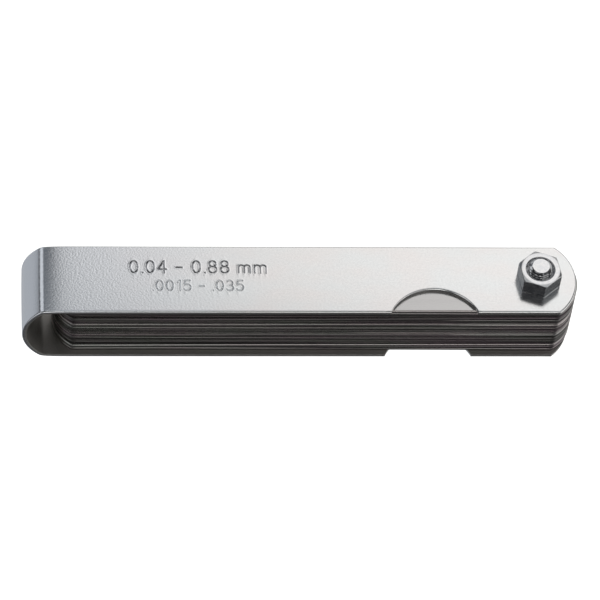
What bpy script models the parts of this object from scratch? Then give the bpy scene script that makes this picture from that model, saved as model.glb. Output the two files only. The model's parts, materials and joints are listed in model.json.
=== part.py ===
"""A folding feeler gauge, modelled lying on its back.

A steel strip bent into a U is the case: its two long covers hold a pack of 32 leaves, and a bolt
through the open end is the pivot of them all. The bolt's slotted head is under the back cover and
a hexagon nut on the front cover clamps the pack, so that a leaf stays where it is turned to.

Frame: +X runs from the bend to the pivot, +Z comes out of the front cover, and both thumb notches
are on the -Y edge. The origin is below the middle of the closed gauge, level with the bolt's
head. Lengths are in metres.
"""

import math

import bmesh
import bpy
from mathutils import Vector

MM = 0.001

# Case: one strip of sheet steel
CASE_LENGTH = 99.0 * MM
CASE_WIDTH = 14.1 * MM
SHEET = 0.8 * MM
END_RADIUS = 9.1 * MM            # rounded outline at the open end
BEND_RADIUS = 9.4 * MM           # outside of the shallow arc that closes the case
FOLD_RADIUS = 2.0 * MM           # outside of the two tight folds beside that arc
NOTCH_FROM_PIVOT = 19.0 * MM
NOTCH_HALF_CHORD = 7.8 * MM
NOTCH_DEPTH = 4.9 * MM

# Pivot: an M4 bolt with a slotted cheese head, and its nut
PIVOT_FROM_END = 6.8 * MM
BOLT_RADIUS = 2.0 * MM
BOLT_CHAMFER = 0.45 * MM
BOLT_STANDS_PROUD = 1.0 * MM     # of the nut's top
HEAD_RADIUS = 3.5 * MM
HEAD_HEIGHT = 2.6 * MM
HEAD_EDGE = 0.3 * MM
SLOT_WIDTH = 1.2 * MM
SLOT_DEPTH = 1.1 * MM
SLOT_TURN = math.radians(35.0)
NUT_ACROSS_FLATS = 7.0 * MM
NUT_HEIGHT = 3.2 * MM
NUT_CHAMFER_SLOPE = math.radians(30.0)
NUT_COUNTERSINK_RADIUS = 2.6 * MM
NUT_TURN = math.radians(10.0)    # how far the nut is turned from flats square to the case

# Leaves
LEAF_THICKNESSES_MM = (
    0.04, 0.05, 0.06, 0.08, 0.10, 0.13, 0.15, 0.18, 0.20, 0.23, 0.25, 0.28, 0.30, 0.33, 0.35, 0.38,
    0.40, 0.43, 0.45, 0.48, 0.50, 0.53, 0.55, 0.58, 0.60, 0.63, 0.65, 0.70, 0.75, 0.80, 0.85, 0.88,
)
LEAF_WIDTH = 12.7 * MM
LEAF_TIP_FROM_PIVOT = 86.8 * MM
LEAF_HEEL_FROM_PIVOT = 7.1 * MM   # a little past the end of the case
LEAF_END_RADIUS = 7.35 * MM
LEAF_SPLAY = math.radians(0.16)  # the leaves never close quite square
SPLAY_STEP, SPLAY_START = 2.4, 0.7

# Fits
HOLE_CLEARANCE = 0.09 * MM       # radial, round the bolt
THREAD_CLEARANCE = 0.05 * MM     # radial, between the bolt and the nut's bore
LEAF_GAP = 0.006 * MM            # between one leaf and the next, and from the pack to the covers
SEAT_GAP = 0.02 * MM             # under the head and under the nut

# Fineness of round shapes
ROUND_STEPS = 32
HOLE_STEPS = 24
END_STEPS = 10
BEND_STEPS = 16
FOLD_STEPS = 5
NOTCH_STEPS = 16

# Places worked out from those
PACK_THICKNESS = sum(LEAF_THICKNESSES_MM) * MM + LEAF_GAP * (len(LEAF_THICKNESSES_MM) + 1)
CASE_THICKNESS = PACK_THICKNESS + 2 * SHEET
OVERALL_LENGTH = CASE_LENGTH + LEAF_HEEL_FROM_PIVOT - PIVOT_FROM_END
CASE_LEFT_X = -OVERALL_LENGTH / 2
CASE_RIGHT_X = CASE_LEFT_X + CASE_LENGTH
PIVOT_X = CASE_RIGHT_X - PIVOT_FROM_END
CASE_BACK_Z = HEAD_HEIGHT + SEAT_GAP
CASE_FRONT_Z = CASE_BACK_Z + CASE_THICKNESS
NUT_Z = CASE_FRONT_Z + SEAT_GAP
BOLT_END_Z = NUT_Z + NUT_HEIGHT + BOLT_STANDS_PROUD
HOLE_RADIUS = BOLT_RADIUS + HOLE_CLEARANCE

CASE_STEEL = ((0.70, 0.70, 0.69), 0.33)
LEAF_STEEL = ((0.34, 0.34, 0.35), 0.28)
ZINC_PLATE = ((0.62, 0.63, 0.65), 0.30)


def collection(name):
    """A new collection in the scene."""
    made = bpy.data.collections.new(name)
    bpy.context.scene.collection.children.link(made)
    return made


def metal(name, look):
    """A Principled metal from (colour, roughness)."""
    colour, roughness = look
    material = bpy.data.materials.new(name)
    material.use_nodes = True
    shader = material.node_tree.nodes["Principled BSDF"]
    shader.inputs["Base Color"].default_value = (*colour, 1.0)
    shader.inputs["Metallic"].default_value = 1.0
    shader.inputs["Roughness"].default_value = roughness
    material.diffuse_color = (*colour, 1.0)
    return material


def arc(centre, radius, start, end, steps):
    """Points on a circle in a plane, from one angle to another, both ends included."""
    angles = [start + (end - start) * i / steps for i in range(steps + 1)]
    return [(centre[0] + radius * math.cos(a), centre[1] + radius * math.sin(a)) for a in angles]


def circle(centre, radius, steps):
    """A closed ring of points."""
    return arc(centre, radius, 0.0, 2 * math.pi * (steps - 1) / steps, steps - 1)


def plate(name, outlines, thickness, group):
    """A flat solid: closed outlines in the XY plane, holes among them, half its thickness each way."""
    curve = bpy.data.curves.new(name, "CURVE")
    curve.dimensions = "2D"
    curve.fill_mode = "BOTH"
    curve.extrude = thickness / 2
    for points in outlines:
        spline = curve.splines.new("POLY")
        spline.points.add(len(points) - 1)
        for point, (x, y) in zip(spline.points, points):
            point.co = (x, y, 0.0, 1.0)
        spline.use_cyclic_u = True
    drawn = bpy.data.objects.new(name + "_outline", curve)
    bpy.context.scene.collection.objects.link(drawn)
    seen = drawn.evaluated_get(bpy.context.evaluated_depsgraph_get())
    mesh = bpy.data.meshes.new_from_object(seen)
    bpy.data.objects.remove(drawn)
    bpy.data.curves.remove(curve)
    weld(mesh)
    mesh.name = name
    solid = bpy.data.objects.new(name, mesh)
    group.objects.link(solid)
    return solid


def weld(mesh):
    """Join the loose caps of a mesh made from a curve."""
    shape = bmesh.new()
    shape.from_mesh(mesh)
    bmesh.ops.remove_doubles(shape, verts=shape.verts, dist=0.0005 * MM)
    bmesh.ops.recalc_face_normals(shape, faces=shape.faces)
    shape.to_mesh(mesh)
    shape.free()


def turned(name, profile, group):
    """A solid of revolution about Z: (radius, height) points down its outside, axis to axis."""
    mesh = bpy.data.meshes.new(name)
    count = len(profile)
    mesh.from_pydata([(r, 0.0, z) for r, z in profile], [(i, i + 1) for i in range(count - 1)], [])
    solid = bpy.data.objects.new(name, mesh)
    group.objects.link(solid)
    screw = solid.modifiers.new("Turn", "SCREW")
    screw.axis = "Z"
    screw.steps = ROUND_STEPS
    screw.render_steps = ROUND_STEPS
    screw.use_merge_vertices = True
    screw.merge_threshold = 0.0001 * MM
    return solid


def cut(solid, cutter, operation="DIFFERENCE"):
    """Cut one solid by another, or keep only what both fill."""
    boolean = solid.modifiers.new(cutter.name, "BOOLEAN")
    boolean.object = cutter
    boolean.operation = operation
    boolean.solver = "EXACT"
    cutter.hide_render = True
    cutter.display_type = "WIRE"


def smooth(solid, angle=math.radians(30.0)):
    """Round faces shade smooth, and edges sharper than the angle stay sharp."""
    solid.data.shade_smooth()
    solid.data.set_sharp_from_angle(angle=angle)


def bend_section(inset):
    """The strip's path round the bend in (x, z), from the front cover to the back one.

    A wide arc about a point on the middle plane is met by a tight fold at each cover. Inset is how
    far inside the outer surface the path runs, so both radii lose that much.
    """
    half = CASE_THICKNESS / 2
    lean = math.asin((half - FOLD_RADIUS) / (BEND_RADIUS - FOLD_RADIUS))
    centre_x = CASE_LEFT_X + BEND_RADIUS
    reach = BEND_RADIUS - FOLD_RADIUS
    fold_x = centre_x - reach * math.cos(lean)
    up = math.pi / 2
    front = arc((fold_x, half - FOLD_RADIUS), FOLD_RADIUS - inset, up, math.pi - lean, FOLD_STEPS)
    crown = arc((centre_x, 0.0), BEND_RADIUS - inset, math.pi - lean, math.pi + lean, BEND_STEPS)
    back = arc((fold_x, FOLD_RADIUS - half), FOLD_RADIUS - inset, math.pi + lean, 3 * up, FOLD_STEPS)
    return front + crown[1:-1] + back


def cover_outline():
    """Plan of the case: straight edges, the rounded open end and the thumb notch, past the bend."""
    half = CASE_WIDTH / 2
    left = CASE_LEFT_X - SHEET
    end_centre = CASE_RIGHT_X - END_RADIUS
    spread = math.asin(half / END_RADIUS)
    end = arc((end_centre, 0.0), END_RADIUS, -spread, spread, END_STEPS)
    notch_radius = (NOTCH_HALF_CHORD ** 2 + NOTCH_DEPTH ** 2) / (2 * NOTCH_DEPTH)
    notch_centre = (PIVOT_X - NOTCH_FROM_PIVOT, NOTCH_DEPTH - notch_radius - half)
    opening = math.asin(NOTCH_HALF_CHORD / notch_radius)
    up = math.pi / 2
    notch = arc(notch_centre, notch_radius, up + opening, up - opening, NOTCH_STEPS)
    return [(left, -half)] + notch + end + [(left, half)]


def make_case(parts, cutters, material):
    """The U of strip, then its plan, notches and bolt holes cut through both covers at once."""
    end_x = CASE_RIGHT_X + SHEET
    half = CASE_THICKNESS / 2
    outside = [(end_x, half)] + bend_section(0.0) + [(end_x, -half)]
    inside = [(end_x, half - SHEET)] + bend_section(SHEET) + [(end_x, SHEET - half)]
    strip = plate("case", [outside + inside[::-1]], CASE_WIDTH + 2 * SHEET, parts)
    stand_up(strip)
    strip.location.z = CASE_BACK_Z + half
    bolt_hole = circle((PIVOT_X, 0.0), HOLE_RADIUS, HOLE_STEPS)
    plan = plate("case_plan", [cover_outline(), bolt_hole], CASE_THICKNESS + 2 * SHEET, cutters)
    plan.location.z = strip.location.z
    cut(strip, plan, "INTERSECT")
    finish(strip, material)


def stand_up(solid):
    """Turn a plate drawn in XY so that its drawing's y is up and its thickness runs along Y."""
    for vertex in solid.data.vertices:
        x, y, z = vertex.co
        vertex.co = Vector((x, -z, y))


def leaf_outline():
    """Plan of a leaf about its pivot: parallel edges and an equal arc at each end."""
    half = LEAF_WIDTH / 2
    spread = math.asin(half / LEAF_END_RADIUS)
    heel = arc((LEAF_HEEL_FROM_PIVOT - LEAF_END_RADIUS, 0.0), LEAF_END_RADIUS, -spread, spread, END_STEPS)
    tip_centre = (LEAF_END_RADIUS - LEAF_TIP_FROM_PIVOT, 0.0)
    tip = arc(tip_centre, LEAF_END_RADIUS, math.pi - spread, math.pi + spread, END_STEPS)
    return heel + tip


def pack_order():
    """Leaf thicknesses from the front cover down: thick leaves outside, the thinnest in the middle."""
    return LEAF_THICKNESSES_MM[::-2] + LEAF_THICKNESSES_MM[::2]


def make_leaves(parts, material):
    """The pack, laid from the front cover down, each leaf with its origin on the pivot."""
    top = CASE_FRONT_Z - SHEET - LEAF_GAP
    for place, size in enumerate(pack_order()):
        name = f"leaf_{size:.2f}mm".replace(".", "_")
        hole = circle((0.0, 0.0), HOLE_RADIUS, HOLE_STEPS)
        leaf = plate(name, [leaf_outline(), hole], size * MM, parts)
        leaf.location = (PIVOT_X, 0.0, top - size * MM / 2)
        leaf.rotation_euler.z = LEAF_SPLAY * math.sin(SPLAY_STEP * place + SPLAY_START)
        top -= size * MM + LEAF_GAP
        finish(leaf, material)


def make_bolt(parts, cutters, material):
    """Cheese head, plain shank and chamfered end, with a screwdriver slot across the head."""
    profile = [
        (0.0, BOLT_END_Z),
        (BOLT_RADIUS - BOLT_CHAMFER, BOLT_END_Z),
        (BOLT_RADIUS, BOLT_END_Z - BOLT_CHAMFER),
        (BOLT_RADIUS, HEAD_HEIGHT),
        (HEAD_RADIUS, HEAD_HEIGHT),
        (HEAD_RADIUS, HEAD_EDGE),
        (HEAD_RADIUS - HEAD_EDGE, 0.0),
        (0.0, 0.0),
    ]
    bolt = turned("bolt", profile, parts)
    bolt.location.x = PIVOT_X
    bpy.ops.mesh.primitive_cube_add(size=1.0)
    slot = bpy.context.object
    slot.name = "bolt_slot"
    slot.scale = (4 * HEAD_RADIUS, SLOT_WIDTH, 2 * SLOT_DEPTH)
    bpy.ops.object.transform_apply(scale=True)
    slot.rotation_euler.z = SLOT_TURN
    slot.location.x = PIVOT_X
    move_to(slot, cutters)
    cut(bolt, slot)
    finish(bolt, material)


def make_nut(parts, cutters, material):
    """A hexagon whose corners are turned off top and bottom, bored and countersunk."""
    corner = NUT_ACROSS_FLATS / 2 / math.cos(math.pi / 6)
    bpy.ops.mesh.primitive_cylinder_add(vertices=6, radius=corner, depth=NUT_HEIGHT)
    nut = bpy.context.object
    nut.name = "nut"
    move_to(nut, parts)
    nut.location = (PIVOT_X, 0.0, NUT_Z + NUT_HEIGHT / 2)
    nut.rotation_euler.z = NUT_TURN

    half = NUT_HEIGHT / 2
    face = 0.95 * NUT_ACROSS_FLATS / 2
    wide = corner + SHEET
    drop = (wide - face) * math.tan(NUT_CHAMFER_SLOPE)
    hull = turned("nut_chamfer", [(0.0, half), (face, half), (wide, half - drop),
                                  (wide, drop - half), (face, -half), (0.0, -half)], cutters)
    bore = BOLT_RADIUS + THREAD_CLEARANCE
    mouth = NUT_COUNTERSINK_RADIUS
    sink = mouth - bore
    over = half + SHEET
    drill = turned("nut_bore", [(0.0, over), (mouth + SHEET, over), (bore, half - sink),
                                (bore, sink - half), (mouth + SHEET, -over), (0.0, -over)], cutters)
    for cutter in (hull, drill):
        cutter.location = nut.location
    cut(nut, hull, "INTERSECT")
    cut(nut, drill)
    finish(nut, material)


def move_to(solid, group):
    """Take an object out of the collections that hold it and put it in one."""
    for holder in list(solid.users_collection):
        holder.objects.unlink(solid)
    group.objects.link(solid)


def finish(solid, material):
    """Material and shading, last of all on each sub-part."""
    solid.data.materials.append(material)
    smooth(solid)


def main():
    for item in list(bpy.data.objects):
        bpy.data.objects.remove(item)
    parts = collection("feeler_gauge")
    cutters = collection("cutters")
    make_case(parts, cutters, metal("case_steel", CASE_STEEL))
    make_leaves(parts, metal("leaf_steel", LEAF_STEEL))
    plated = metal("zinc_plate", ZINC_PLATE)
    make_bolt(parts, cutters, plated)
    make_nut(parts, cutters, plated)


main()
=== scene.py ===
# %% [markdown]
# # A folding feeler gauge
# A feeler gauge measures narrow gaps. Thirty-two steel leaves, each of its own thickness, swing on
# one bolt between the two covers of a folded steel case. Every moving piece is already there as a
# plain solid. This lesson lays a finer surface over each one: the stamped case, the leaves with
# their soft ground edges, and a nut and bolt with a real thread. Each surface is worked out with
# numpy as a function of two parameters, and all metals are made from shader nodes.

import json
import math

import bmesh
import bpy
import numpy as np
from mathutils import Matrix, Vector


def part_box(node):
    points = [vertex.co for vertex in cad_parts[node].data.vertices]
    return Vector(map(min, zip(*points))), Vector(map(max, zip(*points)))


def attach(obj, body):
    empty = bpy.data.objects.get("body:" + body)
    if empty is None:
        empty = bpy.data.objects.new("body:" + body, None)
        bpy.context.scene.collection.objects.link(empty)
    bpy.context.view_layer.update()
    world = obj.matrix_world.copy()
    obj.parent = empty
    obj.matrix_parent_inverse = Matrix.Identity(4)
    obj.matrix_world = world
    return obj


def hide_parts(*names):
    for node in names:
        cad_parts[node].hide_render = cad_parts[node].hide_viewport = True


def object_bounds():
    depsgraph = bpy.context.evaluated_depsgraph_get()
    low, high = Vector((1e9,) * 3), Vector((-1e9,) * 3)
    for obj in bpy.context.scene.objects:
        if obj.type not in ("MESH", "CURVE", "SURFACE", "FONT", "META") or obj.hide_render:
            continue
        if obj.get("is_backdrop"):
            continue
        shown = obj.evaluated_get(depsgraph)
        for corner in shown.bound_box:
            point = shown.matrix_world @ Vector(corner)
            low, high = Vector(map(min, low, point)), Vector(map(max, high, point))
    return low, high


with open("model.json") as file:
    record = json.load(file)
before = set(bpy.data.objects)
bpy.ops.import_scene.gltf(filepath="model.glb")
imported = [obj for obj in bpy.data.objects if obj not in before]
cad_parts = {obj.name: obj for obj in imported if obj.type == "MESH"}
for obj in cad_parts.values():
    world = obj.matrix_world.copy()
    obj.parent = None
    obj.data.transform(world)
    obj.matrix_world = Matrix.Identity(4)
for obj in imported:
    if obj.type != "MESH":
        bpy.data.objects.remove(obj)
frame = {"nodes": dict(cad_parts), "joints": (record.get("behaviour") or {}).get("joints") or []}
cad_low, cad_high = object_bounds()
MM = 0.001

# %% [markdown]
# ## From a grid of points to a mesh
# A surface given by two parameters is a table of points, and each square of the table is a face.
# A solid can need several tables that share their borders, so the borders are joined, the faces are
# turned outwards, and edges that are really sharp are kept sharp in the shading.

# %% Grid helpers
JOIN_DISTANCE = 0.0003 * MM
TO_MIDDLE = 1000 * MM  # an inset so deep that it always ends on the middle line


def grid_quads(rows, columns, start):
    """Faces of a table of points: each corner index is row times columns plus column."""
    row, column = np.meshgrid(np.arange(rows - 1), np.arange(columns - 1), indexing="ij")
    corner = start + row * columns + column
    return np.stack([corner, corner + 1, corner + columns + 1, corner + columns], -1).reshape(-1, 4)


def solid(name, grids, sharp_degrees=40.0, paint=None):
    """One closed mesh from tables of points, shape (rows, columns, 3), whose borders meet.

    Paint names a point attribute and gives its value at each point, one table for each grid.
    """
    start, quads = 0, []
    for grid in grids:
        quads.append(grid_quads(*grid.shape[:2], start))
        start += grid.shape[0] * grid.shape[1]
    mesh = bpy.data.meshes.new(name)
    points = np.concatenate([grid.reshape(-1, 3) for grid in grids])
    mesh.from_pydata(points.tolist(), [], np.concatenate(quads).tolist())
    for attribute, tables in (paint or {}).items():
        layer = mesh.attributes.new(attribute, "FLOAT", "POINT")
        layer.data.foreach_set("value", np.concatenate([table.ravel() for table in tables]).astype("f"))
    tidy_shell(mesh)
    mesh.shade_smooth()
    mesh.set_sharp_from_angle(angle=math.radians(sharp_degrees))
    piece = bpy.data.objects.new(name, mesh)
    bpy.context.scene.collection.objects.link(piece)
    return piece


def tidy_shell(mesh):
    """Join coincident points, drop faces that closed up, and turn every face outwards."""
    shape = bmesh.new()
    shape.from_mesh(mesh)
    bmesh.ops.remove_doubles(shape, verts=shape.verts, dist=JOIN_DISTANCE)
    bmesh.ops.recalc_face_normals(shape, faces=shape.faces)
    loose = sum(1 for edge in shape.edges if len(edge.link_faces) != 2)
    if shape.calc_volume(signed=True) < 0:
        bmesh.ops.reverse_faces(shape, faces=shape.faces)
    shape.to_mesh(mesh)
    shape.free()
    triangles = sum(len(face.vertices) - 2 for face in mesh.polygons)
    print(f"{mesh.name}: {triangles} triangles, {loose} edges not shared by two faces")


# %% [markdown]
# ## The case as one strip
# The case is one strip of sheet steel. Its closed end is a wide arc between two tight folds. It is
# easiest to draw flat, and then to bend: a point has a run along the strip, a place across it and a
# height out of its middle surface, and one function gives where that point is after bending.

# %% Case dimensions
case_low, case_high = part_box("case")
SHEET = 0.8 * MM
SHEET_CROWN = 0.07 * MM
END_RADIUS = 9.1 * MM
BEND_RADIUS = 9.4 * MM
FOLD_RADIUS = 2.0 * MM
EASE_TURN = math.radians(7.0)
EASE_LENGTH = 1.3 * MM
NOTCH_FROM_PIVOT = 19.0 * MM
NOTCH_HALF_CHORD = 7.8 * MM
NOTCH_DEPTH = 4.9 * MM
HOLE_RADIUS = 2.09 * MM

pivot_x = next(joint for joint in frame["joints"] if joint["name"] == "nut_turn")["pos_m"][0]
half_width = (case_high.y - case_low.y) / 2
half_thick = (case_high.z - case_low.z) / 2
middle_z = (case_high.z + case_low.z) / 2
crown_radius = BEND_RADIUS - SHEET / 2
fold_radius = FOLD_RADIUS - SHEET / 2
crown_x = case_low.x + BEND_RADIUS
lean = math.asin((half_thick - FOLD_RADIUS) / (BEND_RADIUS - FOLD_RADIUS))
fold_x = crown_x - (BEND_RADIUS - FOLD_RADIUS) * math.cos(lean)
crown_run = crown_radius * lean
fold_run = crown_run + fold_radius * (math.pi / 2 - lean)
pivot_run = fold_run + pivot_x - fold_x
tip_run = fold_run + case_high.x - fold_x
print(f"case {2 * half_width / MM:.1f} mm wide, {2 * half_thick / MM:.2f} mm thick")
print(f"the crown of the bend spans {2 * math.degrees(lean):.0f} degrees")


# %% The bent strip
def eased(past_fold):
    """How far a cover lies low beside its fold, because the last few degrees of bend come slowly.

    The slope rises in a straight line to EASE_TURN at the end of the fold and then dies away
    exponentially, so the height is a constant, then a parabola, then an exponential.
    """
    lead = fold_radius * EASE_TURN
    rise = EASE_TURN * np.clip(past_fold + lead, 0, lead) ** 2 / (2 * lead)
    tail = EASE_TURN * EASE_LENGTH * np.exp(-np.maximum(past_fold, 0) / EASE_LENGTH)
    return np.where(past_fold > 0, tail, EASE_TURN * (EASE_LENGTH + lead / 2) - rise)


def bent(run, across, out):
    """A point of the strip after bending, front cover where run is positive.

    The outward normal turns from -X to +Z: by run over radius on the crown, then on the fold, and
    it stays at +Z on the cover. The point is the arc's centre, plus radius and height along the
    normal, plus what is left of the run along X. The ease beside the fold takes a little off.
    """
    length = np.abs(run)
    on_crown = length < crown_run
    fold_turn = np.minimum(lean + (length - crown_run) / fold_radius, math.pi / 2)
    turn = np.where(on_crown, length / crown_radius, fold_turn)
    reach = np.where(on_crown, crown_radius, fold_radius) + out
    x = np.where(on_crown, crown_x, fold_x) - reach * np.cos(turn) + np.maximum(length - fold_run, 0)
    z = np.where(on_crown, 0.0, half_thick - FOLD_RADIUS) + reach * np.sin(turn)
    z = z - eased(length - fold_run) * np.minimum(z / (half_thick - SHEET), 1.0)
    return np.stack([x, across + 0 * x, middle_z + np.where(run < 0, -z, z)], -1)


# %% [markdown]
# ## Numbers as strokes
# Sizes are stamped into steel with punches whose lines are all one width. Such a character is only
# a few lines and arcs, so each one is written as strokes in a box one unit high. The same strokes
# cut the grooves of the case and draw the etched sizes of the leaves.

# %% Stroke letters
def bow(x, y, across, up, start, end, steps=12):
    """Points on an ellipse from one angle to another, in degrees."""
    angle = np.radians(np.linspace(start, end, steps + 1))
    return [(x + across * math.cos(a), y + up * math.sin(a)) for a in angle]


STROKES = {
    "0": [bow(0.29, 0.5, 0.27, 0.5, 0, 360, 20)],
    "1": [[(0.10, 0.78), (0.32, 1.0), (0.32, 0.0)]],
    "2": [bow(0.29, 0.72, 0.27, 0.28, 165, -35) + [(0.02, 0.0), (0.56, 0.0)]],
    "3": [bow(0.27, 0.75, 0.25, 0.25, 150, -90), bow(0.27, 0.26, 0.29, 0.26, 90, -150)],
    "4": [[(0.42, 0.0), (0.42, 1.0), (0.0, 0.3), (0.58, 0.3)]],
    "5": [[(0.52, 1.0), (0.10, 1.0), (0.06, 0.55)] + bow(0.26, 0.32, 0.30, 0.32, 130, -150)],
    "6": [bow(0.29, 0.29, 0.27, 0.29, 0, 360, 16), bow(0.56, 0.30, 0.54, 0.72, 180, 105)],
    "7": [[(0.02, 1.0), (0.56, 1.0), (0.20, 0.0)]],
    "8": [bow(0.29, 0.76, 0.23, 0.24, 0, 360, 16), bow(0.29, 0.27, 0.28, 0.27, 0, 360, 16)],
    "m": [[(0.0, 0.0), (0.0, 0.66)], bow(0.2, 0.44, 0.2, 0.22, 180, 0) + [(0.4, 0.0)],
          bow(0.6, 0.44, 0.2, 0.22, 180, 0) + [(0.8, 0.0)]],
    ".": [[(0.05, 0.0), (0.05, 0.02)]],
    "-": [[(0.0, 0.45), (0.42, 0.45)]],
    " ": [],
}
ADVANCE = {"1": 0.62, "m": 1.12, ".": 0.30, "-": 0.70, " ": 0.42}
DIGIT_ADVANCE = 0.84


def lettering(text, height, left, base):
    """Stroke segments (x0, y0, x1, y1) of a line of characters that starts at left, on base."""
    segments, pen = [], 0.0
    for character in text:
        for stroke in STROKES[character]:
            ends = np.array(stroke)
            segments.append(np.hstack([ends[:-1], ends[1:]]) + [pen, 0, pen, 0])
        pen += ADVANCE.get(character, DIGIT_ADVANCE)
    return np.vstack(segments) * height + [left, base, left, base], pen * height


def stroke_distance(x, y, segments):
    """Distance from each point to the nearest segment: to its foot, held between the ends."""
    points = np.stack([x.ravel(), y.ravel()], -1)[:, None, :]
    start, along = segments[None, :, :2], (segments[:, 2:] - segments[:, :2])[None]
    length = np.maximum((along ** 2).sum(-1), 1e-18)
    share = np.clip(((points - start) * along).sum(-1) / length, 0, 1)
    foot = start + share[..., None] * along
    return np.sqrt(((points - foot) ** 2).sum(-1)).min(1).reshape(x.shape)


# %% Stamped lines
STAMPS = (
    # text, height, left end, base line, groove depth
    ("0.04 - 0.88 mm", 2.55 * MM, -30.55 * MM, 1.25 * MM, 0.12 * MM),
    (".0015 - .035", 2.15 * MM, -26.65 * MM, -2.55 * MM, 0.06 * MM),
)
stamp_lines = []
for text, height, left, base, depth in STAMPS:
    segments, length = lettering(text, height, left, base)
    stamp_lines.append((segments, depth))
    print(f"{text!r} is {length / MM:.1f} mm long")

GROOVE_REACH = 0.125 * MM
GROOVE_WALL = 0.10 * MM
LIP_PLACE = 0.21 * MM
LIP_WIDTH = 0.06 * MM
LIP_SHARE = 0.16


def stamped(x, y):
    """Height of the front face, and how much darker its colour is there.

    The height is a groove with sloping walls and a low lip of pushed-up metal, a bell curve beside
    the groove. The colour is darker on the groove's floor, by the square of the groove's depth.
    """
    height, groove_dark = np.zeros_like(x), np.zeros_like(x)
    for segments, depth in stamp_lines:
        away = stroke_distance(x, y, segments)
        groove = np.clip((GROOVE_REACH - away) / GROOVE_WALL, 0, 1)
        lip = np.exp(-((away - LIP_PLACE) / LIP_WIDTH) ** 2)
        height += LIP_SHARE * depth * lip - depth * groove
        groove_dark += groove * (depth / stamp_lines[0][1]) ** 2
    return height, groove_dark


# %% [markdown]
# ## The case's surface
# Rows run along the strip, and each row starts on the middle line, goes out over the outer face,
# round the cut edge and back over the inner face. On the edge it meets the strip's outline: the
# rounded end, the straight edges and the thumb notch. Round the bolt hole the middle line opens
# into the hole's circle. Rows are close together under the stamped numbers, where the shape is fine.

# %% Rows and outline
STAMP_LEFT = -31.0 * MM
STAMP_RIGHT = -3.0 * MM
NOTCH_RADIUS = (NOTCH_HALF_CHORD ** 2 + NOTCH_DEPTH ** 2) / (2 * NOTCH_DEPTH)
notch_run = pivot_run - NOTCH_FROM_PIVOT
end_centre = tip_run - END_RADIUS
end_spread = math.asin(half_width / END_RADIUS)
corner_run = end_centre + END_RADIUS * math.cos(end_spread)
hole_run = pivot_run - HOLE_RADIUS


def run_at(x):
    """Run along the strip of a place on the front cover."""
    return fold_run + x - fold_x


def notch_edge(run):
    """How far the thumb notch cuts in: a circle's height over its chord, and nothing outside it."""
    inside = np.maximum(NOTCH_RADIUS ** 2 - (run - notch_run) ** 2, 0)
    return np.maximum(np.sqrt(inside) - (NOTCH_RADIUS - NOTCH_DEPTH), 0)


def cover_rows(fine):
    """Runs from the crown to the tip, and the outline's distance from the middle line at each.

    Only the front cover, which is stamped, needs the fine rows.
    """
    left, right = run_at(STAMP_LEFT), run_at(STAMP_RIGHT)
    notch_left, notch_right = notch_run - NOTCH_HALF_CHORD, notch_run + NOTCH_HALF_CHORD
    text_rows = 280 if fine else 30
    notch_angle = np.linspace(-1, 1, 49) * math.asin(NOTCH_HALF_CHORD / NOTCH_RADIUS)
    runs = np.concatenate([
        np.linspace(0, crown_run, 25)[:-1],
        np.linspace(crown_run, fold_run, 11)[:-1],
        fold_run + np.linspace(0, 1, 16)[:-1] ** 1.5 * (left - fold_run),
        np.linspace(left, right, text_rows)[:-1],
        np.linspace(right, notch_left, 12)[:-1],
        (notch_run + NOTCH_RADIUS * np.sin(notch_angle))[:-1],
        np.linspace(notch_right, hole_run, 12)[:-1],
        np.linspace(hole_run, corner_run, 10)[:-1],
    ])
    angle = np.linspace(end_spread, 0, 33)
    round_end = end_centre + END_RADIUS * np.cos(angle)
    width = np.concatenate([np.full(len(runs), half_width), END_RADIUS * np.sin(angle)])
    return np.concatenate([runs, round_end]), width


# %% Profile of a row
OUTER_ROLL = 0.26 * MM
INNER_ROLL = 0.05 * MM
INNER_COLUMNS = (0.3 * MM, 1.5 * MM, 4.0 * MM)
# how fast the cut edge turns into the inner face, which is rougher and darker as painted shade
DULL_AND_SHADE_RATE = 2.5


def middle_target(run, width):
    """Where a row starts: on the middle line, or on the hole's circle once the row is past it.

    The circle's angle goes from its far side to its near side as the outline's length goes by.
    """
    past = run > hole_run
    step = np.hypot(np.diff(run, prepend=run[0]), np.diff(width, prepend=width[0]))
    gone = np.cumsum(np.where(past, step, 0))
    angle = math.pi * (1 - gone / gone[-1])
    target_run = np.where(past, pivot_run + HOLE_RADIUS * np.cos(angle), run)
    return target_run, np.where(past, HOLE_RADIUS * np.sin(angle), 0.0)


def edge_profile(inward):
    """Inset from the outline and height, from the middle line over the outer face to the inner one.

    Both rolls of the cut edge are quarter circles, the outer one wider, as a press leaves it.
    """
    quarter = np.linspace(0, math.pi / 2, 9)
    top = SHEET / 2
    outer = np.stack([OUTER_ROLL * (1 - np.sin(quarter)), top - OUTER_ROLL * (1 - np.cos(quarter))], -1)
    inner = np.stack([INNER_ROLL * (1 - np.cos(quarter)), INNER_ROLL * (1 - np.sin(quarter)) - top], -1)
    face = np.stack([inward, np.full(len(inward), top)], -1)
    back = np.array([(inset, -top) for inset in (*INNER_COLUMNS, TO_MIDDLE)])
    return np.concatenate([face, outer, inner, back])


def crowned(height, across):
    """Height of the slightly crowned sheet: the outer face falls by the square of the way across."""
    share = 0.5 + height / SHEET
    return height - share * SHEET_CROWN * (across / half_width) ** 2


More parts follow.
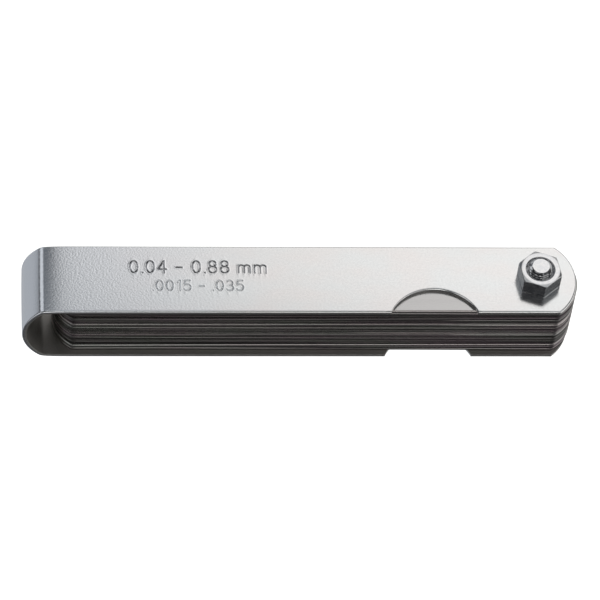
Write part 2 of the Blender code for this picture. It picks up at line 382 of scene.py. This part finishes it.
def side_of_case(sign, inward, run, width, target):
    """Table of points on one side of the middle line, sign +1 or -1 across the strip.

    The row at the tip belongs to both sides, so there the columns of the face fall together. The
    inner attribute rises from 0 to 1 over the middle of the cut edge, a fixed rate times its height.
    It makes the inner face rougher, and darker as painted shade between the covers.
    """
    profile = edge_profile(inward)
    edge_y = sign * width
    if sign < 0:
        edge_y = edge_y + notch_edge(np.abs(run))
    aim_run, aim_y = target[0] - run, sign * target[1] - edge_y
    reach = np.hypot(aim_run, aim_y)
    on_face = (np.arange(len(profile)) > 0) & (np.arange(len(profile)) < len(inward))
    last_row = width[:, None] < JOIN_DISTANCE
    depth = np.where(last_row & on_face, inward[-1], profile[:, 0])
    inset = np.minimum(depth / reach[:, None], 1.0)
    runs = run[:, None] + inset * aim_run[:, None]
    across = edge_y[:, None] + inset * aim_y[:, None]
    out = crowned(profile[:, 1], across)
    inside = np.clip(0.5 - DULL_AND_SHADE_RATE * profile[:, 1] / SHEET, 0, 1)
    inner = np.broadcast_to(inside, runs.shape)
    return runs, across, out, inner


# %% Columns of the case
STAMP_BANDS = {1: (1.0, 4.05), -1: (0.15, 2.75)}  # from the middle line, mm, for either side
BAND_PITCH = 0.1
EDGE_COLUMN = 0.45


def face_columns(sign, near, far):
    """Insets of the outer face's columns: the middle line, a close band, then wider to the edge."""
    edge = half_width / MM
    before = [edge - near / 2] if sign > 0 else []
    band = np.linspace(edge - near, edge - far, round((far - near) / BAND_PITCH))
    after = np.linspace(edge - far, EDGE_COLUMN, 6)[1:]
    return np.concatenate([[TO_MIDDLE / MM], before, band, after]) * MM


# %% Case
STAMP_AFTER_FOLD = 2 * MM

front_run, front_width = cover_rows(True)
back_run, back_width = cover_rows(False)
front_target = middle_target(front_run, front_width)
back_target = middle_target(back_run, back_width)
run = np.concatenate([-back_run[::-1], front_run[1:]])
width = np.concatenate([back_width[::-1], front_width[1:]])
target = (np.concatenate([-back_target[0][::-1], front_target[0][1:]]),
          np.concatenate([back_target[1][::-1], front_target[1][1:]]))

case_grids, case_inner, case_groove_dark = [], [], []
for sign, (near, far) in STAMP_BANDS.items():
    inward = face_columns(sign, near, far)
    runs, across, out, inner = side_of_case(sign, inward, run, width, target)
    on_face = np.arange(runs.shape[1]) < len(inward)
    on_front = (runs > fold_run + STAMP_AFTER_FOLD) & on_face
    x = fold_x + runs - fold_run
    height, groove_darkening = stamped(x[on_front], across[on_front])
    out[on_front] += height
    groove_dark = np.zeros(x.shape)
    groove_dark[on_front] = groove_darkening
    case_grids.append(bent(runs, across, out))
    case_inner.append(inner)
    case_groove_dark.append(groove_dark)
    in_hole = np.abs(run) >= hole_run - JOIN_DISTANCE
    for cover in (run < 0, run > 0):
        wall = in_hole & cover
        rim_run = np.repeat(target[0][wall][:, None], 2, 1)
        rim_y = np.repeat(sign * target[1][wall][:, None], 2, 1)
        rim_height = crowned(np.array([SHEET / 2, -SHEET / 2]), rim_y)
        case_grids.append(bent(rim_run, rim_y, rim_height))
        case_inner.append(np.zeros(rim_run.shape))
        case_groove_dark.append(np.zeros(rim_run.shape))
case = solid("case_strip", case_grids, 35.0, {"inner": case_inner, "groove_dark": case_groove_dark})
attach(case, "case")
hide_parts("case")

# %% [markdown]
# ## The leaves
# Each leaf is a strip of spring steel with parallel edges and an equal arc at both ends. Its cut
# edges are ground, so they are a little round, and that roundness is what catches the light as a
# fine line. No two leaves are quite alike: a leaf is cambered by a few hundredths of a millimetre,
# it never closes quite square, and one in three is a little narrower and stands back in shadow. The
# surface is the case's again, without the bend: rows along the leaf that go from the middle line
# over one face, round the edge and back over the other.

# %% Leaf dimensions
LEAF_WIDTH = 12.7 * MM
LEAF_TIP = -86.8 * MM
LEAF_HEEL = 7.1 * MM
LEAF_END_RADIUS = 7.35 * MM
LEAF_SPLAY = math.radians(0.16)
SPLAY_STEP = 2.4
SPLAY_START = 0.7

leaf_half = LEAF_WIDTH / 2
leaf_spread = math.asin(leaf_half / LEAF_END_RADIUS)
leaf_nodes = sorted((name for name in frame["nodes"] if name.startswith("leaf_")),
                    key=lambda name: -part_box(name)[0].z)
print("front leaf:", leaf_nodes[0], "back leaf:", leaf_nodes[-1])


# %% Leaf outline
NUMBER_HEIGHT = 2.0 * MM
NUMBER_LEFT = -80.0 * MM
NUMBER_RIGHT = -74.0 * MM
NUMBER_BASE = 2.1 * MM
NUMBER_PITCH = 0.08 * MM
NUMBER_MARGIN = 0.1 * MM
NUMBER_LINE = 0.09 * MM
NUMBER_REACH = 1.6  # in lines: the etch fades out between 0.6 and 1.6 of them
NUMBER_COLUMNS_END = 1.9 * MM
FACE_COLUMN = 1.6 * MM
EDGE_MARGIN = 0.04 * MM
ROLL_SHARE = 0.24
ROLL_LIMIT = 0.20 * MM
WAVE_TURN = 9.0
SAME_HEIGHT = 0.0001 * MM
TIP_TARGET = LEAF_TIP + 5.0 * MM


def leaf_rows():
    """Places along a leaf measured from its pivot, and the outline's distance from the middle line.

    Rows are close together where the leaf's size is etched.
    """
    angle = np.linspace(0, leaf_spread, 17)
    tip = LEAF_TIP + LEAF_END_RADIUS * (1 - np.cos(angle))
    heel = LEAF_HEEL - LEAF_END_RADIUS * (1 - np.cos(angle[::-1]))
    number_rows = round((NUMBER_RIGHT - NUMBER_LEFT) / NUMBER_PITCH)
    long_edge = np.concatenate([
        np.linspace(tip[-1], NUMBER_LEFT, 4)[1:-1],
        np.linspace(NUMBER_LEFT, NUMBER_RIGHT, number_rows),
        np.linspace(NUMBER_RIGHT, -HOLE_RADIUS, 45)[1:],
    ])
    past_hole = np.linspace(-HOLE_RADIUS, heel[0], 9)[1:-1]
    along = np.concatenate([tip, long_edge, past_hole, heel])
    straight = np.full(len(long_edge) + len(past_hole), leaf_half)
    arc = LEAF_END_RADIUS * np.sin(angle)
    return along, np.concatenate([arc, straight, arc[::-1]])


def leaf_target(along, width):
    """Where a row starts: a point inside the tip, the middle line, then round the hole's circle."""
    past = along > -HOLE_RADIUS + JOIN_DISTANCE
    step = np.hypot(np.diff(along, prepend=along[0]), np.diff(width, prepend=width[0]))
    gone = np.cumsum(np.where(past, step, 0))
    angle = math.pi * (1 - gone / gone[-1])
    target_x = np.where(past, HOLE_RADIUS * np.cos(angle), np.maximum(along, TIP_TARGET))
    return target_x, np.where(past, HOLE_RADIUS * np.sin(angle), 0)


def leaf_profile(thickness, tilt, numbered):
    """Inset and height of a row, and which of its points are on the cut edge.

    A row is face, quarter-round edge, flat edge, quarter-round edge, face. The edge leans by tilt,
    as it does when the grinding wheel isn't quite square to the leaf. On the numbered half the
    upper face has close columns under the digits.
    """
    roll = min(ROLL_SHARE * thickness, ROLL_LIMIT)
    quarter = np.linspace(0, math.pi / 2, 6)
    top = thickness / 2
    upper = np.stack([roll * (1 - np.sin(quarter)), top - roll * (1 - np.cos(quarter))], -1)
    lower = upper[::-1] * [1, -1]
    leaning = np.concatenate([upper, lower])
    leaning[:, 0] += np.abs(tilt) * top + tilt * leaning[:, 1]
    first = leaf_half - NUMBER_BASE + NUMBER_MARGIN
    digits = np.arange(first, NUMBER_COLUMNS_END, -NUMBER_PITCH) if numbered else []
    inward = np.concatenate([[TO_MIDDLE], digits, [FACE_COLUMN, leaning[0, 0] + EDGE_MARGIN]])
    face = np.stack([inward, np.full(len(inward), top)], -1)
    outward = (leaning[-1, 0] + EDGE_MARGIN, FACE_COLUMN, TO_MIDDLE)
    back = np.array([(inset, -top) for inset in outward])
    on_edge = np.concatenate([0 * inward, np.ones(len(leaning)), np.zeros(len(back))])
    return np.concatenate([face, leaning, back]), on_edge


def leaf_grids(thickness, segments, habit):
    """Tables of points of one leaf about its pivot, and of its etched digits and its cut edge.

    Both edges shift sideways by half a sine wave of camber and by a longer, lower wave. Habit is
    the leaf's own camber, wave, the wave's phase, the edge's lean and how narrow the leaf is.
    """
    camber, waviness, phase, tilt, narrow = habit
    along, width = leaf_rows()
    aim_x, aim_y = leaf_target(along, width)
    share = np.clip(along / LEAF_TIP, 0, 1)
    shift = camber * np.sin(math.pi * share) + waviness * np.sin(WAVE_TURN * share + phase) * share
    grids, marks, edges = [], [], []
    for sign in (1, -1):
        profile, on_edge = leaf_profile(thickness, tilt, sign > 0)
        edge = sign * width * (1 - narrow / leaf_half) + shift * (width > 0)
        way_x, way_y = aim_x - along, sign * aim_y - edge
        at_tip = (width[:, None] < JOIN_DISTANCE) & (profile[:, 0] < TO_MIDDLE)
        depth = np.where(at_tip, np.minimum(profile[:, 0], FACE_COLUMN), profile[:, 0])
        inset = np.minimum(depth / np.hypot(way_x, way_y)[:, None], 1.0)
        x = along[:, None] + inset * way_x[:, None]
        y = edge[:, None] + inset * way_y[:, None]
        z = np.broadcast_to(profile[None, :, 1], x.shape)
        grids.append(np.stack([x, y, z], -1))
        near = (x > NUMBER_LEFT - MM) & (x < NUMBER_RIGHT + MM) & (y > MM)
        near &= z > thickness / 2 - SAME_HEIGHT
        away = stroke_distance(x[near], y[near], segments)
        mark = np.zeros(x.shape)
        mark[near] = np.clip(NUMBER_REACH - away / NUMBER_LINE, 0, 1)
        marks.append(mark)
        edges.append(np.broadcast_to(on_edge, x.shape))
        wall = along >= -HOLE_RADIUS - JOIN_DISTANCE
        x = np.repeat(aim_x[wall][:, None], 2, 1)
        y = np.repeat(sign * aim_y[wall][:, None], 2, 1)
        grids.append(np.stack([x, y, np.array([thickness / 2, -thickness / 2]) + 0 * x], -1))
        marks.append(np.zeros(x.shape))
        edges.append(np.zeros(x.shape))
    return grids, marks, edges


def turned_about_pivot(points, angle, height):
    """Turn points about the pivot's axis and lift them to their height in the pack."""
    x, y, z = points[..., 0], points[..., 1], points[..., 2]
    c, s = math.cos(angle), math.sin(angle)
    return np.stack([pivot_x + c * x - s * y, s * x + c * y, z + height], -1)


# %% Make the leaves
RECESSED_SHARE = 0.36
RECESSED_BY = (0.28, 0.42)  # mm off each edge, of a leaf that stands back and of any other
NARROW_BY = (0.0, 0.06)
CAMBER = 0.05
WAVE = 0.03
EDGE_LEAN = 0.10

chance = np.random.default_rng(7)
leaves = []
for place, node in enumerate(leaf_nodes):
    low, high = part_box(node)
    thickness, height = high.z - low.z, (high.z + low.z) / 2
    splay = LEAF_SPLAY * math.sin(SPLAY_STEP * place + SPLAY_START)
    recessed = 1 < place < len(leaf_nodes) - 2 and chance.uniform() < RECESSED_SHARE
    narrow = chance.uniform(*(RECESSED_BY if recessed else NARROW_BY))
    habit = (chance.normal(0, CAMBER) * MM, chance.normal(0, WAVE) * MM, chance.uniform(0, 6.3),
             chance.normal(0, EDGE_LEAN), narrow * MM)
    size = node.removeprefix("leaf_").removesuffix("mm").replace("_", ".")
    digits, length = lettering(size, NUMBER_HEIGHT, NUMBER_LEFT, NUMBER_BASE)
    grids, marks, edges = leaf_grids(thickness, digits, habit)
    grids = [turned_about_pivot(grid, splay, height) for grid in grids]
    # a leaf that stands back gets the darkest edge tone, painted shade of its recess; any other leaf a
    # random tone
    tone = 0.0 if recessed else chance.uniform(0, 1)
    tones = [np.full(mark.shape, tone) for mark in marks]
    leaf = solid(node + "_ground", grids, 50.0, {"mark": marks, "tone": tones, "edge": edges})
    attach(leaf, node)
    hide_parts(node)
    leaves.append(leaf)
print(len(leaves), "leaves")

# %% [markdown]
# ## Nut and bolt
# The thread is a helix: at any height the bolt's radius rises and falls once for each pitch, and
# the pattern turns once with each turn round the axis. The nut's bore follows the same helix a
# little further out, so the two fit, and stay fitted when the nut turns and the bolt slides. The
# nut is a hexagon whose corners are turned off to a shallow dome, which leaves the curved edges
# that every nut has.

# %% Thread
PITCH = 0.7 * MM
THREAD_DEPTH = 0.40 * MM
BOLT_RADIUS = 2.0 * MM
THREAD_PLAY = 0.05 * MM
CREST_SHARE = 0.10
FLANK_SHARE = 0.74


def thread_drop(angle, z):
    """How far the helix is cut below its crest: a V with flats, once for each pitch and each turn."""
    phase = (z / PITCH - angle / (2 * math.pi)) % 1.0
    ridge = np.abs(2 * phase - 1)
    return THREAD_DEPTH * np.clip((ridge - CREST_SHARE) / FLANK_SHARE, 0, 1)


def around_pivot(angle, radius, z):
    """Points about the pivot's axis from angle, radius and height."""
    return np.stack([pivot_x + radius * np.cos(angle), radius * np.sin(angle), z + 0 * angle], -1)


# %% Nut
ACROSS_FLATS = 7.0 * MM
NUT_TURN = math.radians(10.0)
NUT_CORNER = 4.0 * MM
NUT_FACE = 0.455 * ACROSS_FLATS
NUT_SHOULDER = 2.2 * MM
NUT_SOFT = 0.07 * MM
NUT_MOUTH = 2.68 * MM
nut_low, nut_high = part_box("nut")
nut_height, nut_middle = nut_high.z - nut_low.z, (nut_high.z + nut_low.z) / 2


def nut_points():
    """Rows go round the nut. Each row climbs the bore, crosses the top, and comes down the side.

    The side's radius is that of a hexagon, half the width across flats over the cosine of the
    angle from a flat's middle. The corners are turned off along a parabola: the top drops by the
    square of the way out from its flat face.
    """
    turn = np.linspace(0, 2 * math.pi, 241)
    from_flat = (turn + math.pi / 6) % (math.pi / 3) - math.pi / 6
    hexagon = np.minimum(ACROSS_FLATS / 2 / np.cos(from_flat), NUT_CORNER)[:, None]
    angle = (turn + NUT_TURN)[:, None]
    half = nut_height / 2
    way_out = NUT_FACE + np.linspace(0, 1, 6) * (hexagon - NUT_SOFT - NUT_FACE)
    shoulder = half - (way_out - NUT_FACE) ** 2 / (2 * NUT_SHOULDER)
    way_out = np.hstack([way_out, hexagon])
    shoulder = np.hstack([shoulder, shoulder[:, -1:] - NUT_SOFT])
    climb = np.linspace(-half, half, 90)[None, :]
    thread = BOLT_RADIUS + THREAD_PLAY - thread_drop(angle, nut_middle + climb)
    bore = np.maximum(thread, NUT_MOUTH - (half - np.abs(climb)))
    radius = np.hstack([bore, way_out, way_out[:, ::-1], bore[:, :1]])
    around = 0 * hexagon
    z = np.hstack([climb + around, shoulder, -shoulder[:, ::-1], climb[:, :1] + around])
    return around_pivot(angle, radius, nut_middle + z)


nut = solid("nut_plated", [nut_points()], 30.0)
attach(nut, "nut")
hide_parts("nut")

# %% Bolt
HEAD_RADIUS = 3.5 * MM
HEAD_HEIGHT = 2.6 * MM
HEAD_EDGE = 0.35 * MM
HEAD_BREAK = 0.1 * MM
THREAD_LENGTH = 6.0 * MM
END_FLAT = 1.52 * MM
END_CHAMFER = 0.30 * MM
SLOT_WIDTH = 1.2 * MM
SLOT_DEPTH = 1.1 * MM
SLOT_TURN = math.radians(35.0)
bolt_low, bolt_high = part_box("bolt")


def bolt_points():
    """Rows go round the bolt. Each row runs from the end's centre down the thread to the head."""
    angle = np.linspace(0, 2 * math.pi, 121)[:, None]
    around = 0 * angle
    thread_z = np.linspace(bolt_high.z, bolt_high.z - THREAD_LENGTH, 150)[None, :]
    chamfer = END_FLAT + (bolt_high.z - thread_z) * (BOLT_RADIUS - END_FLAT) / END_CHAMFER
    run_out = np.clip((thread_z - thread_z.min()) / PITCH, 0, 1)
    thread = np.minimum(BOLT_RADIUS - run_out * thread_drop(angle, thread_z), chamfer)
    quarter = np.linspace(0, math.pi / 2, 6)[None, :]
    floor = bolt_low.z
    head_r = np.array([[BOLT_RADIUS, HEAD_RADIUS - HEAD_BREAK, HEAD_RADIUS]])
    head_z = np.array([[HEAD_HEIGHT, HEAD_HEIGHT, HEAD_HEIGHT - HEAD_BREAK]]) + floor
    edge_r = HEAD_RADIUS - HEAD_EDGE * (1 - np.cos(quarter))
    edge_z = floor + HEAD_EDGE * (1 - np.sin(quarter))
    flat = np.array([[0.0, 0.9]]) * END_FLAT
    radius = np.hstack([flat + around, thread, head_r + around, edge_r + around, around])
    end_z = np.full((1, 2), bolt_high.z)
    z = np.hstack([end_z + around, thread_z + around, head_z + around, edge_z + around, floor + around])
    return around_pivot(angle, radius, z)


def cut_slot(piece):
    """Cut the screwdriver slot with a box, apply the cut, and shade it smooth, keeping edges over 30
    degrees sharp.
    """
    bpy.ops.mesh.primitive_cube_add(size=1.0)
    box = bpy.context.object
    box.dimensions = (4 * HEAD_RADIUS, SLOT_WIDTH, 2 * SLOT_DEPTH)
    box.rotation_euler.z = SLOT_TURN
    box.location = (pivot_x, 0, bolt_low.z)
    cut = piece.modifiers.new("slot", "BOOLEAN")
    cut.object, cut.solver = box, "EXACT"
    seen = piece.evaluated_get(bpy.context.evaluated_depsgraph_get())
    mesh = bpy.data.meshes.new_from_object(seen)
    piece.modifiers.clear()
    piece.data = mesh
    mesh.shade_smooth()
    mesh.set_sharp_from_angle(angle=math.radians(30))
    bpy.data.objects.remove(box)


bolt = solid("bolt_threaded", [bolt_points()], 30.0)
cut_slot(bolt)
print("bolt after the slot:", len(bolt.data.polygons), "faces")
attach(bolt, "bolt")
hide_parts("bolt")

# %% [markdown]
# ## Metals
# All three metals are a Principled shader with Metallic at one. What sets them apart is colour,
# roughness and a fine relief. Plated sheet has a mottle like orange peel, strongest where the bend
# has stretched it. Near the bend its colour turns cooler, a painted reflection of the cool light
# that end sees. The leaves are darker spring steel, ground along their length, so their noise is
# drawn out along X, and each leaf's cut edge has a tone of its own between oil-stained and clean. A
# leaf that stands back takes the darkest tone, as painted shade of its recess.


# %% Shader helpers
def new_metal(name, colour, roughness):
    """A material with a metallic Principled shader, and the nodes that the finish builds on."""
    material = bpy.data.materials.new(name)
    material.use_nodes = True
    shader = material.node_tree.nodes["Principled BSDF"]
    shader.inputs["Base Color"].default_value = (*colour, 1)
    shader.inputs["Metallic"].default_value = 1.0
    shader.inputs["Roughness"].default_value = roughness
    return material, shader


def noise(material, scale, stretch=(1, 1, 1), detail=3.0):
    """Noise on Object coordinates, scale per metre, stretched along an axis by a number under 1."""
    nodes, links = material.node_tree.nodes, material.node_tree.links
    place = nodes.new("ShaderNodeTexCoord")
    mapping = nodes.new("ShaderNodeMapping")
    mapping.inputs["Scale"].default_value = stretch
    texture = nodes.new("ShaderNodeTexNoise")
    texture.inputs["Scale"].default_value = scale
    texture.inputs["Detail"].default_value = detail
    links.new(place.outputs["Object"], mapping.inputs["Vector"])
    links.new(mapping.outputs["Vector"], texture.inputs["Vector"])
    return texture.outputs["Fac"]


def painted(material, attribute):
    """The value of a point attribute."""
    node = material.node_tree.nodes.new("ShaderNodeAttribute")
    node.attribute_name = attribute
    return node.outputs["Fac"]


def remap(material, value, low, high, from_low=0.3, from_high=0.7):
    """A smooth step of a value from one range into another."""
    node = material.node_tree.nodes.new("ShaderNodeMapRange")
    node.interpolation_type = "SMOOTHSTEP"
    node.inputs["From Min"].default_value = from_low
    node.inputs["From Max"].default_value = from_high
    node.inputs["To Min"].default_value = low
    node.inputs["To Max"].default_value = high
    material.node_tree.links.new(value, node.inputs["Value"])
    return node.outputs["Result"]


def tint(material, shader, value, dark, light):
    """Base colour between two tones by a value. A tone is a colour or another node's output."""
    mix = material.node_tree.nodes.new("ShaderNodeMix")
    mix.data_type = "RGBA"
    for name, tone in (("A", dark), ("B", light)):
        if isinstance(tone, tuple):
            mix.inputs[name].default_value = (*tone, 1)
        else:
            material.node_tree.links.new(tone, mix.inputs[name])
    material.node_tree.links.new(value, mix.inputs["Factor"])
    material.node_tree.links.new(mix.outputs["Result"], shader.inputs["Base Color"])
    return mix.outputs["Result"]


def add(material, first, second, factor):
    """First plus factor times second."""
    node = material.node_tree.nodes.new("ShaderNodeMath")
    node.operation = "MULTIPLY_ADD"
    node.inputs[1].default_value = factor
    material.node_tree.links.new(second, node.inputs[0])
    material.node_tree.links.new(first, node.inputs[2])
    return node.outputs["Value"]


def relief(material, shader, value, height, normal=None):
    """Bump of a real height in metres."""
    bump = material.node_tree.nodes.new("ShaderNodeBump")
    bump.inputs["Distance"].default_value = height
    material.node_tree.links.new(value, bump.inputs["Height"])
    if normal is not None:
        material.node_tree.links.new(normal, bump.inputs["Normal"])
    material.node_tree.links.new(bump.outputs["Normal"], shader.inputs["Normal"])
    return bump.outputs["Normal"]


def multiply(material, first, second):
    """Product of two values."""
    node = material.node_tree.nodes.new("ShaderNodeMath")
    node.operation = "MULTIPLY"
    material.node_tree.links.new(first, node.inputs[0])
    material.node_tree.links.new(second, node.inputs[1])
    return node.outputs["Value"]


def from_bend(material, near, far):
    """A value that goes from near at the bend to far at the middle of the case, by Object X."""
    place = material.node_tree.nodes.new("ShaderNodeTexCoord")
    split = material.node_tree.nodes.new("ShaderNodeSeparateXYZ")
    material.node_tree.links.new(place.outputs["Object"], split.inputs["Vector"])
    return remap(material, split.outputs["X"], near, far, fold_x, 0.0)


# %% Plated case
MOTTLE_HEIGHT = 0.019 * MM
GRAIN_HEIGHT = 0.0006 * MM


def case_steel():
    """Bright sheet with its plating: a mottle that fades away from the bend, a cooler colour near the
    bend that is a painted reflection, darker stamped grooves, and an inner face that is rougher and, as
    painted shade, darker.
    """
    material, shader = new_metal("case_steel", (0.84, 0.84, 0.83), 0.20)
    mottle = noise(material, 3300, (0.8, 1, 1), 2)
    clouds = noise(material, 170, (0.5, 1, 1), 2)
    bend = from_bend(material, 1.0, 0.0)
    grain = noise(material, 9000, (0.35, 1, 1), 2)
    inside = painted(material, "inner")
    warmth = remap(material, clouds, 0, 1)
    cloudy = tint(material, shader, warmth, (0.86, 0.84, 0.83), (0.84, 0.86, 0.86))
    # near the bend the colour turns cooler: a painted reflection of the cool light that end of the case
    # sees
    cool_reflection_near_bend = tint(material, shader, bend, cloudy, (0.80, 0.83, 0.87))
    # the stamped grooves are darker, by the square of their depth
    groove_darkened = tint(material, shader, painted(material, "groove_dark"), cool_reflection_near_bend, (0.52, 0.52, 0.53))
    # the inner face is darker, painted shade inside the case between the covers; below it is also
    # rougher
    tint(material, shader, inside, groove_darkened, (0.44, 0.43, 0.41))
    rough = add(material, remap(material, mottle, 0.17, 0.21), inside, 0.35)
    material.node_tree.links.new(rough, shader.inputs["Roughness"])
    faded = multiply(material, mottle, from_bend(material, 1.0, 0.10))
    first = relief(material, shader, grain, GRAIN_HEIGHT)
    relief(material, shader, faded, MOTTLE_HEIGHT, first)
    return material


case.data.materials.append(case_steel())


# %% Ground spring steel
SCRATCH_HEIGHT = 0.0015 * MM


def leaf_steel():
    """Bright faces ground along the leaf, darker oil-stained edges, darkest as painted shade on the
    leaves that stand back, and the size etched in black.
    """
    material, shader = new_metal("leaf_steel", (0.55, 0.54, 0.53), 0.24)
    lines = noise(material, 900, (0.04, 1, 3.0), 3)
    fine = noise(material, 6000, (0.05, 1, 1), 2)
    stain = remap(material, noise(material, 130, (0.4, 1, 4.0), 2), 0, 1)
    # the dark end of the edge tone: oil-stained steel, and painted shade on the leaves that stand back
    oily_and_shaded = tint(material, shader, stain, (0.150, 0.120, 0.135), (0.130, 0.135, 0.120))
    clean = tint(material, shader, stain, (0.74, 0.68, 0.66), (0.70, 0.70, 0.67))
    edge = tint(material, shader, painted(material, "tone"), oily_and_shaded, clean)
    ground = remap(material, lines, 0, 1)
    face = tint(material, shader, ground, (0.56, 0.555, 0.55), (0.66, 0.65, 0.645))
    steel = tint(material, shader, painted(material, "edge"), face, edge)
    etched = painted(material, "mark")
    tint(material, shader, etched, steel, (0.03, 0.03, 0.03))
    rough = add(material, remap(material, lines, 0.19, 0.27), etched, 0.3)
    material.node_tree.links.new(rough, shader.inputs["Roughness"])
    relief(material, shader, fine, SCRATCH_HEIGHT)
    return material


leaf_metal = leaf_steel()
for leaf in leaves:
    leaf.data.materials.append(leaf_metal)


# %% Zinc plate
CLOUD_HEIGHT = 0.0015 * MM


def zinc_plate():
    """Bright plate on turned steel, with a faint cloudiness."""
    material, shader = new_metal("zinc_plate", (0.80, 0.81, 0.82), 0.17)
    cloud = noise(material, 1500, (1, 1, 1), 3)
    tint(material, shader, remap(material, cloud, 0, 1), (0.70, 0.71, 0.73), (0.84, 0.84, 0.84))
    rough = remap(material, cloud, 0.13, 0.20)
    material.node_tree.links.new(rough, shader.inputs["Roughness"])
    relief(material, shader, cloud, CLOUD_HEIGHT)
    return material


zinc = zinc_plate()
for piece in (nut, bolt):
    piece.data.materials.clear()
    piece.data.materials.append(zinc)
print("metal on", len([case, nut, bolt, *leaves]), "pieces")

# %% [markdown]
# ## Floor, light and camera
# Bright metal shows the room more than itself, so the light is planned as what each face sees. The
# cover looks up and away from the camera. There is a soft bright light for its right half, and the
# way to the left is darker, so the cover darkens toward the bend, until the fold catches a light of
# its own. The leaves' cut edges look down to the front, which is almost dark, and only their round
# corners catch the bright low light in front. The bend looks down to the left, to a wide dim light.
# The lights are patches of the world, and the floor is hidden from reflections, because it would
# brighten the metal from below.

# %% Floor
FLOOR_SIZE = 6.0
FLOOR_GAP = 0.2 * MM


def white_floor():
    """A level white surface under the gauge that glows, as a light table does."""
    bpy.ops.mesh.primitive_plane_add(size=FLOOR_SIZE)
    floor = bpy.context.object
    floor.name = "floor"
    floor.location.z = cad_low.z - FLOOR_GAP
    material = bpy.data.materials.new("floor_white")
    material.use_nodes = True
    shader = material.node_tree.nodes["Principled BSDF"]
    shader.inputs["Base Color"].default_value = (0.9, 0.9, 0.88, 1)
    shader.inputs["Roughness"].default_value = 0.9
    shader.inputs["Emission Color"].default_value = (1, 1, 0.985, 1)
    shader.inputs["Emission Strength"].default_value = 1.0
    floor.data.materials.append(material)
    for ray in ("visible_glossy", "visible_diffuse", "visible_shadow"):
        setattr(floor, ray, False)
    floor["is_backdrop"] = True


white_floor()

# %% Soft lights all round
PATCHES = (
    # direction (x, y, z), half angle where it is full, half angle where it ends, colour, strength
    ((0.21, 0.63, 0.75), 6, 16.8, (1.0, 0.980, 0.968), 1.02),
    ((0.08, 0.10, 1.00), 12, 33, (0.97, 0.99, 1.0), 0.50),
    ((-0.25, 0.56, 0.79), 6, 16, (0.85, 0.93, 1.0), 0.13),
    ((-0.585, 0.56, 0.594), 8, 20, (0.95, 0.97, 1.0), 0.72),
    ((-0.50, 0.58, -0.60), 33, 60, (0.92, 0.95, 1.0), 0.46),
    ((0.00, -1.00, 0.05), 8, 24, (1.0, 0.99, 0.97), 1.75),
    ((-0.70, -0.68, -0.15), 10, 32, (0.97, 0.98, 1.0), 0.60),
    ((0.95, -0.10, -0.20), 20, 42, (1.0, 0.99, 0.98), 0.90),
    ((0.27, -0.50, 0.83), 3, 7, (1.0, 1.0, 1.0), 0.30),
    ((0.70, -0.70, 0.30), 18, 38, (1.0, 1.0, 1.0), 0.45),
    ((0.70, 0.70, 0.25), 15, 32, (1.0, 1.0, 1.0), 0.50),
    ((-0.10, 0.93, 0.33), 10, 23, (1.0, 1.0, 1.0), 0.50),
    ((-0.75, -0.55, 0.35), 12, 26, (1.0, 1.0, 1.0), 0.50),
    ((0.60, 0.25, -0.75), 15, 35, (1.0, 1.0, 1.0), 0.30),
    ((0.10, -0.56, -0.83), 20, 44, (1.0, 0.98, 0.97), 0.045),
)
AMBIENT = (0.022, 0.0225, 0.025)


def light_dome():
    """World light: soft round patches, each a smooth step of the angle from its direction."""
    world = bpy.data.worlds.new("studio")
    bpy.context.scene.world = world
    world.use_nodes = True
    nodes, links = world.node_tree.nodes, world.node_tree.links
    direction = nodes.new("ShaderNodeTexCoord").outputs["Generated"]
    total = None
    for towards, full, end, colour, strength in PATCHES:
        unit = np.array(towards) / np.linalg.norm(towards)
        dot = nodes.new("ShaderNodeVectorMath")
        dot.operation = "DOT_PRODUCT"
        dot.inputs[1].default_value = unit
        links.new(direction, dot.inputs[0])
        edge = nodes.new("ShaderNodeMapRange")
        edge.interpolation_type = "SMOOTHSTEP"
        edge.inputs["From Min"].default_value = math.cos(math.radians(end))
        edge.inputs["From Max"].default_value = math.cos(math.radians(full))
        links.new(dot.outputs["Value"], edge.inputs["Value"])
        glow = nodes.new("ShaderNodeVectorMath")
        glow.operation = "MULTIPLY_ADD"
        glow.inputs[1].default_value = np.array(colour) * strength
        glow.inputs[2].default_value = AMBIENT if total is None else (0, 0, 0)
        links.new(edge.outputs["Result"], glow.inputs[0])
        if total is not None:
            links.new(total, glow.inputs[2])
        total = glow.outputs["Vector"]
    links.new(total, nodes["Background"].inputs["Color"])
    world.cycles.sampling_method = "MANUAL"
    world.cycles.sample_map_resolution = 1024


light_dome()
print(len(PATCHES), "patches of light")

# %% Camera
CAMERA_PLACE = (-0.05945, -0.3982, 0.6016)
CAMERA_TURN = (34.056, -4.021, -2.600)
CAMERA_LENS = 239.26


def add_camera():
    """A long lens, well back, looking down on the gauge from its notched side."""
    data = bpy.data.cameras.new("camera")
    data.lens = CAMERA_LENS
    data.sensor_width = 36.0
    camera = bpy.data.objects.new("camera", data)
    camera.location = CAMERA_PLACE
    camera.rotation_euler = [math.radians(a) for a in CAMERA_TURN]
    bpy.context.scene.collection.objects.link(camera)
    bpy.context.scene.camera = camera
    bpy.context.scene.view_settings.view_transform = "Standard"


add_camera()

# %% Finish
low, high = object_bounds()
